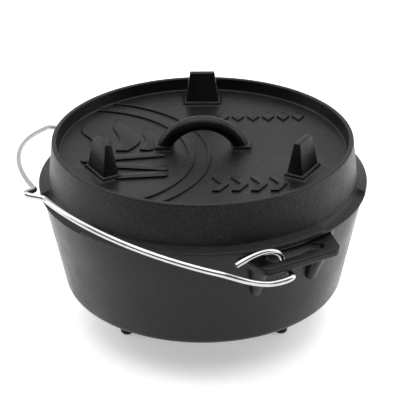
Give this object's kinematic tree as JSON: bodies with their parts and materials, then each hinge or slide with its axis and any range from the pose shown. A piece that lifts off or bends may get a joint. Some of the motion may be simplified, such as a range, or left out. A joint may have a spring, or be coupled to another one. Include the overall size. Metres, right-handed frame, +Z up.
{
  "type": "dutch oven",
  "caption": "Footed cast iron camp oven with slotted ears, a rimmed tray lid with stub legs and a bar handle, and a bright wire bail.",
  "frame": {"origin": "centre of the pot's flat underside, on the pot's own axis, above the tips of the legs", "axes": "+Z up along the pot's axis; the ears lie on +X and -X; the bail rests towards -Y"},
  "size_m": [0.3298, 0.3052, 0.1886],
  "materials": {
    "cast_iron": "seasoned sand casting, satin black",
    "bail_wire": "bright drawn stainless wire"
  },
  "bodies": {
    "pot": {"pot": "cast_iron"},
    "lid": {"lid": "cast_iron", "lid_handle": "cast_iron"},
    "bail": {"bail": "bail_wire"}
  },
  "joints": [
    {"name": "lid_lift", "type": "slide", "parent": "pot", "child": "lid", "axis": [0, 0, 1], "range_m": [0, 0.16]},
    {"name": "bail_swing", "type": "hinge", "parent": "pot", "child": "bail", "pos_m": [0, -0.012, 0.0795], "axis": [-1, 0, 0], "range_deg": [0, 120]}
  ]
}
